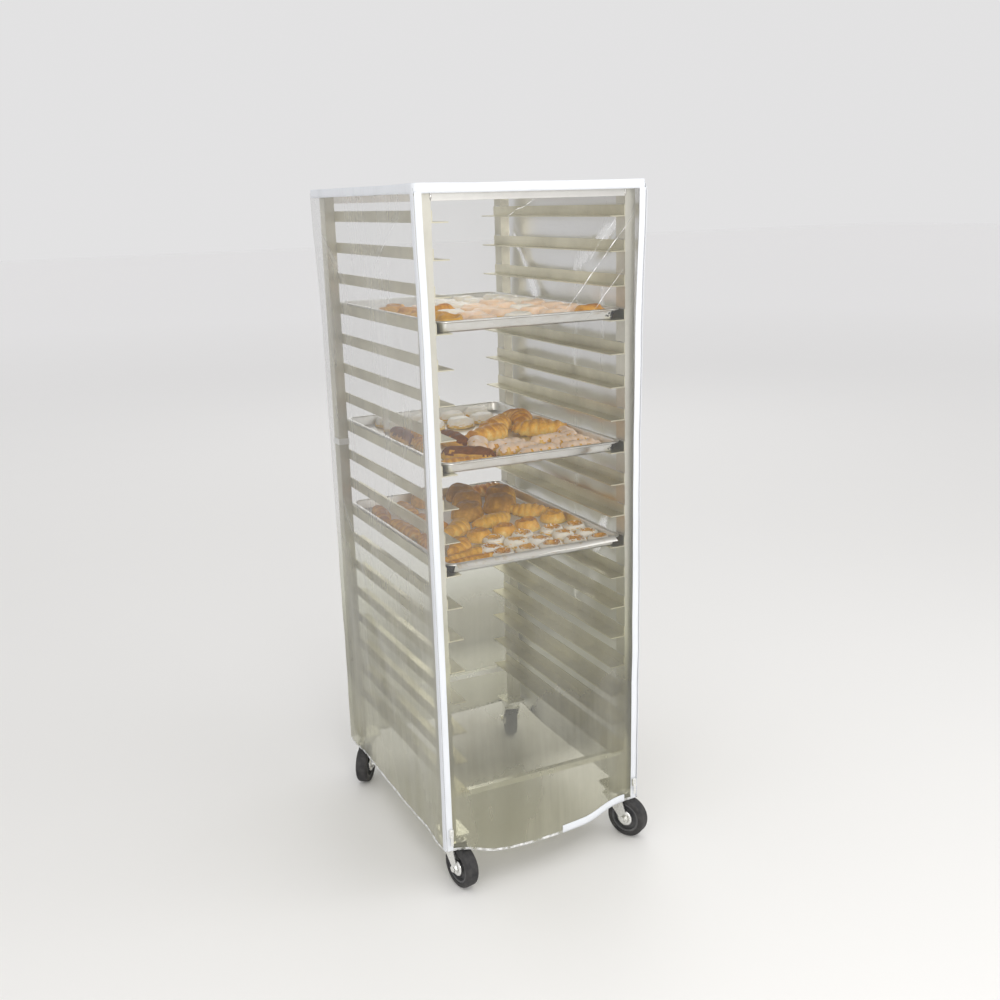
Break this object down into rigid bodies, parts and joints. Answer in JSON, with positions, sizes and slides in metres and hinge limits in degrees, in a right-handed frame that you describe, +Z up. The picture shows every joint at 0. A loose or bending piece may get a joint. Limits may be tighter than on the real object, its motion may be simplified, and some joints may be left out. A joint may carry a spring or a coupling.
{
  "type": "sheet pan rack",
  "caption": "Mobile end-loading sheet pan rack with angle runners, swivel casters and a clear zippered cover, holding pans of pastries.",
  "frame": {"origin": "on the floor, under the middle of the rack", "axes": "+Z up; the front, with the zippered flap, faces -Y; +X to the right seen from the front"},
  "size_m": [0.5676, 0.7628, 1.61],
  "materials": {
    "runner_aluminium": "satin",
    "frame_aluminium": "satin",
    "pan_aluminium": "satin",
    "caster_steel": "satin",
    "wheel_core": "satin",
    "tyre": "matte",
    "clear_film": "gloss",
    "white_tape": "matte",
    "zip_metal": "satin",
    "pastry_glazed": "satin",
    "pastry_chocolate": "satin",
    "pastry_brown": "satin",
    "baking_paper": "matte"
  },
  "bodies": {
    "rack": {"runner_pair_01": "runner_aluminium", "runner_pair_02": "runner_aluminium", "runner_pair_03": "runner_aluminium", "runner_pair_04": "runner_aluminium", "runner_pair_05": "runner_aluminium", "runner_pair_06": "runner_aluminium", "runner_pair_07": "runner_aluminium", "runner_pair_08": "runner_aluminium", "runner_pair_09": "runner_aluminium", "runner_pair_10": "runner_aluminium", "runner_pair_11": "runner_aluminium", "runner_pair_12": "runner_aluminium", "runner_pair_13": "runner_aluminium", "runner_pair_14": "runner_aluminium", "runner_pair_15": "runner_aluminium", "runner_pair_16": "runner_aluminium", "runner_pair_17": "runner_aluminium", "runner_pair_18": "runner_aluminium", "post_front_left": "frame_aluminium", "post_front_right": "frame_aluminium", "post_rear_left": "frame_aluminium", "post_rear_right": "frame_aluminium", "crossbar_top_front": "frame_aluminium", "crossbar_top_rear": "frame_aluminium", "crossbar_bottom_front": "frame_aluminium", "crossbar_bottom_rear": "frame_aluminium", "caster_plates": "caster_steel", "cover_top": "clear_film", "cover_left": "clear_film", "cover_right": "clear_film", "cover_rear": "clear_film", "cover_binding": "white_tape", "tape_band": "white_tape"},
    "front_flap": {"front_flap": "clear_film", "flap_tapes": "white_tape"},
    "zip_left": {"zip_slider_left": "zip_metal"},
    "zip_right": {"zip_slider_right": "zip_metal"},
    "pan_upper": {"pan_upper": "pan_aluminium", "pastries_upper": "pastry_glazed"},
    "pan_middle": {"pan_middle": "pan_aluminium", "pastries_middle": "pastry_chocolate"},
    "pan_lower": {"pan_lower": "pan_aluminium", "liner_lower": "baking_paper", "pastries_lower": "pastry_brown"},
    "swivel_front_left": {"caster_fork_front_left": "caster_steel", "caster_axle_front_left": "caster_steel"},
    "wheel_front_left": {"caster_core_front_left": "wheel_core", "caster_tyre_front_left": "tyre"},
    "swivel_front_right": {"caster_fork_front_right": "caster_steel", "caster_axle_front_right": "caster_steel"},
    "wheel_front_right": {"caster_core_front_right": "wheel_core", "caster_tyre_front_right": "tyre"},
    "swivel_rear_left": {"caster_fork_rear_left": "caster_steel", "caster_axle_rear_left": "caster_steel"},
    "wheel_rear_left": {"caster_core_rear_left": "wheel_core", "caster_tyre_rear_left": "tyre"},
    "swivel_rear_right": {"caster_fork_rear_right": "caster_steel", "caster_axle_rear_right": "caster_steel"},
    "wheel_rear_right": {"caster_core_rear_right": "wheel_core", "caster_tyre_rear_right": "tyre"}
  },
  "joints": [
    {"name": "flap_hinge", "type": "hinge", "parent": "rack", "child": "front_flap", "pos_m": [0, -0.3465, 1.5925], "axis": [-1, 0, 0], "range_deg": [0, 100]},
    {"name": "zip_left_slide", "type": "slide", "parent": "front_flap", "child": "zip_left", "axis": [-0.0101, -0.0047, 0.9999], "range_m": [0, 1.39]},
    {"name": "zip_right_slide", "type": "slide", "parent": "front_flap", "child": "zip_right", "axis": [0.0101, -0.0047, 0.9999], "range_m": [0, 1.39]},
    {"name": "pan_upper_slide", "type": "slide", "parent": "rack", "child": "pan_upper", "axis": [0, -1, 0], "range_m": [0, 0.36]},
    {"name": "pan_middle_slide", "type": "slide", "parent": "rack", "child": "pan_middle", "axis": [0, -1, 0], "range_m": [0, 0.36]},
    {"name": "pan_lower_slide", "type": "slide", "parent": "rack", "child": "pan_lower", "axis": [0, -1, 0], "range_m": [0, 0.36]},
    {"name": "swivel_front_left_turn", "type": "hinge", "parent": "rack", "child": "swivel_front_left", "pos_m": [-0.227, -0.295, 0.112], "axis": [0, 0, 1], "continuous": true},
    {"name": "wheel_front_left_spin", "type": "hinge", "parent": "swivel_front_left", "child": "wheel_front_left", "pos_m": [-0.22075, -0.33045, 0.0508], "axis": [0.9848, 0.1736, 0], "continuous": true},
    {"name": "swivel_front_right_turn", "type": "hinge", "parent": "rack", "child": "swivel_front_right", "pos_m": [0.227, -0.295, 0.112], "axis": [0, 0, 1], "continuous": true},
    {"name": "wheel_front_right_spin", "type": "hinge", "parent": "swivel_front_right", "child": "wheel_front_right", "pos_m": [0.2439, -0.32679, 0.0508], "axis": [0.8829, 0.4695, 0], "continuous": true},
    {"name": "swivel_rear_left_turn", "type": "hinge", "parent": "rack", "child": "swivel_rear_left", "pos_m": [-0.227, 0.295, 0.112], "axis": [0, 0, 1], "continuous": true},
    {"name": "wheel_rear_left_spin", "type": "hinge", "parent": "swivel_rear_left", "child": "wheel_rear_left", "pos_m": [-0.24816, 0.26588, 0.0508], "axis": [0.809, -0.5878, 0], "continuous": true},
    {"name": "swivel_rear_right_turn", "type": "hinge", "parent": "rack", "child": "swivel_rear_right", "pos_m": [0.227, 0.295, 0.112], "axis": [0, 0, 1], "continuous": true},
    {"name": "wheel_rear_right_spin", "type": "hinge", "parent": "swivel_rear_right", "child": "wheel_rear_right", "pos_m": [0.23812, 0.32924, 0.0508], "axis": [-0.9511, 0.309, 0], "continuous": true}
  ],
  "couplings": [
    {"joint": "pan_upper_slide", "follows": "flap_hinge", "m_per_rad": 0.2},
    {"joint": "pan_middle_slide", "follows": "flap_hinge", "m_per_rad": 0.2},
    {"joint": "pan_lower_slide", "follows": "flap_hinge", "m_per_rad": 0.2}
  ]
}
